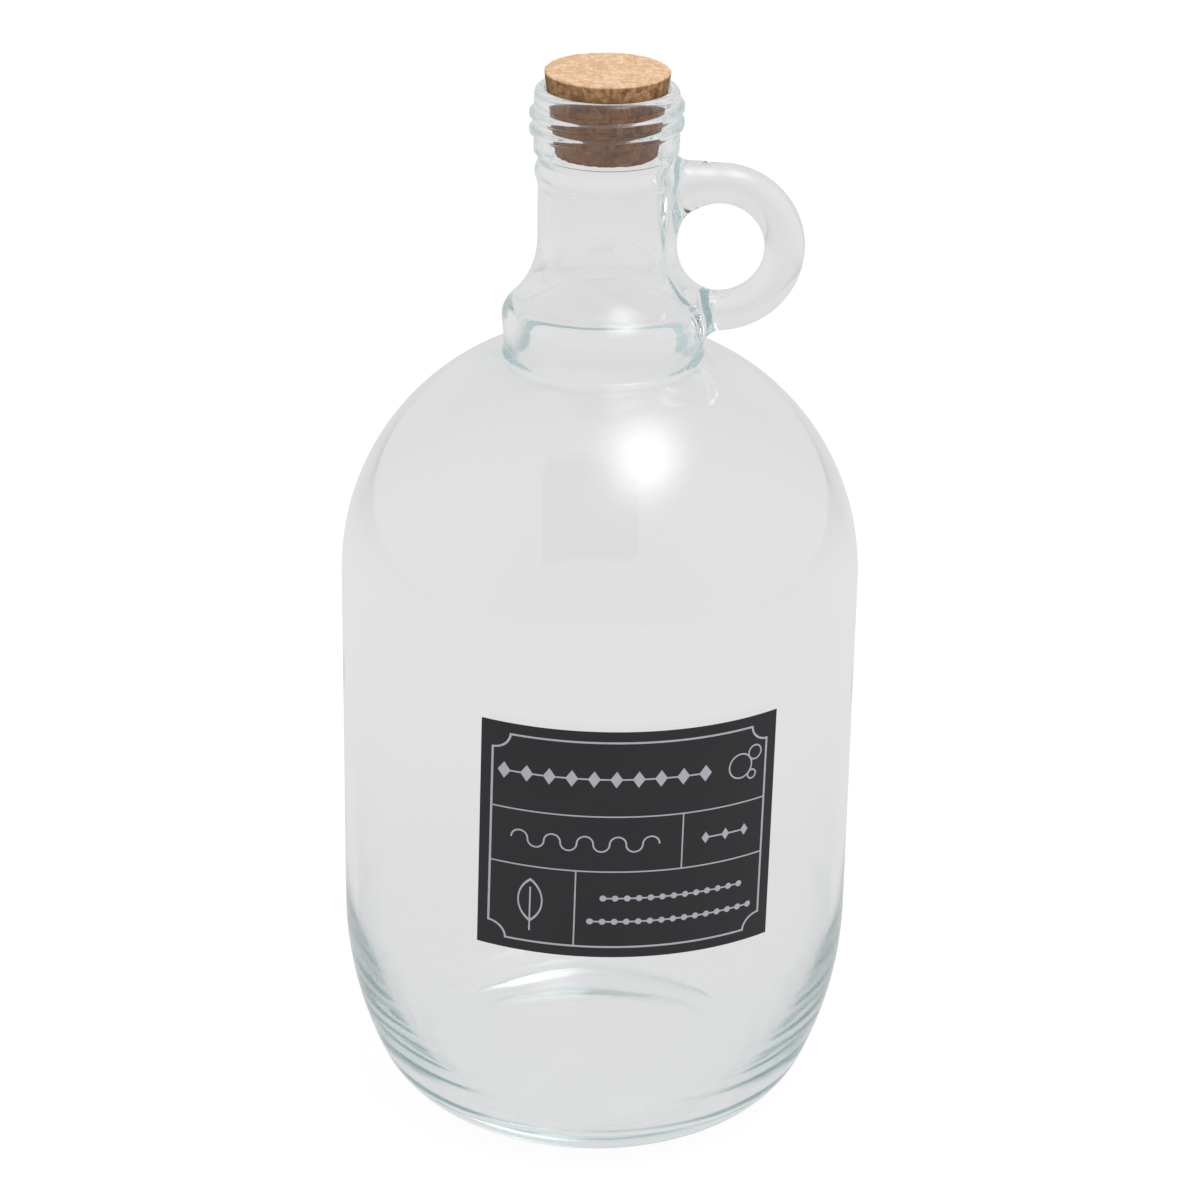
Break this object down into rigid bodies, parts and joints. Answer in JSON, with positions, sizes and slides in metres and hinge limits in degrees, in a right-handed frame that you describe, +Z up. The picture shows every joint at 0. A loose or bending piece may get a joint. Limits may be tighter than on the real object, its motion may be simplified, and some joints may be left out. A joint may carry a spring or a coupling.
{
  "type": "glass laundry bottle",
  "caption": "Round-shouldered glass bottle for laundry liquid, with a moulded finger ring, a screw finish, a tapered cork stopper and a plain dark label.",
  "frame": {"origin": "centre of the base, on the table, on the bottle's axis", "axes": "+Z up along the bottle's axis, +X towards the finger ring, -Y towards the front, where the label is"},
  "size_m": [0.13, 0.1302, 0.2728],
  "materials": {
    "glass": "clear, fire-polished, pale aqua where it is thick",
    "cork": "pressed cork granules, matt",
    "label_sheet": "satin charcoal film",
    "label_ink": "pale grey print"
  },
  "bodies": {
    "bottle": {"glass_bottle": "glass", "label": "label_sheet", "label_print": "label_ink"},
    "cork": {"cork_stopper": "cork"}
  },
  "joints": [
    {"name": "cork_pull", "type": "slide", "parent": "bottle", "child": "cork", "axis": [0, 0, 1], "range_m": [0, 0.045]}
  ]
}
